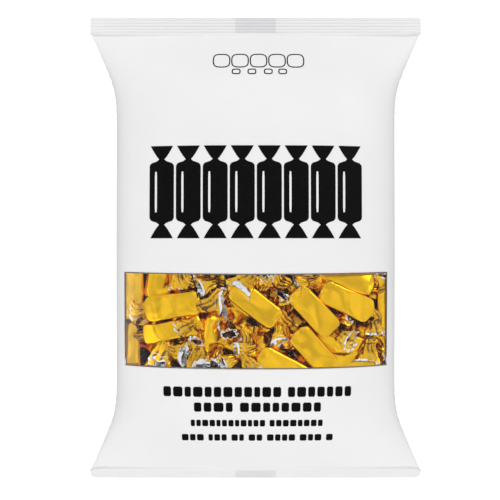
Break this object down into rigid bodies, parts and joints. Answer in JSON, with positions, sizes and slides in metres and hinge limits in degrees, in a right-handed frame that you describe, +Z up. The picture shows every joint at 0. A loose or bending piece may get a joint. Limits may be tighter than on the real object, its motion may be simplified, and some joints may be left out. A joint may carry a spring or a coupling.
{
  "type": "bag of wrapped caramel candies",
  "caption": "Sealed white pillow bag of twist-wrapped caramels in gold foil, with crimped ends and a clear window across its front, lying on its back.",
  "frame": {"origin": "On the floor, under the middle of the bag as it lies on its back.", "axes": "+X is to the right across the bag, +Y runs up the bag to its top seal, +Z is up, out of the front with the window."},
  "size_m": [0.215, 0.3005, 0.0699],
  "materials": {
    "bag_film": "satin white printed film",
    "window_film": "thin clear plastic film",
    "gold_foil": "bright gold foil wrappers"
  },
  "bodies": {
    "root": {"bag": "bag_film", "window": "window_film", "caramels": "gold_foil"}
  },
  "joints": []
}
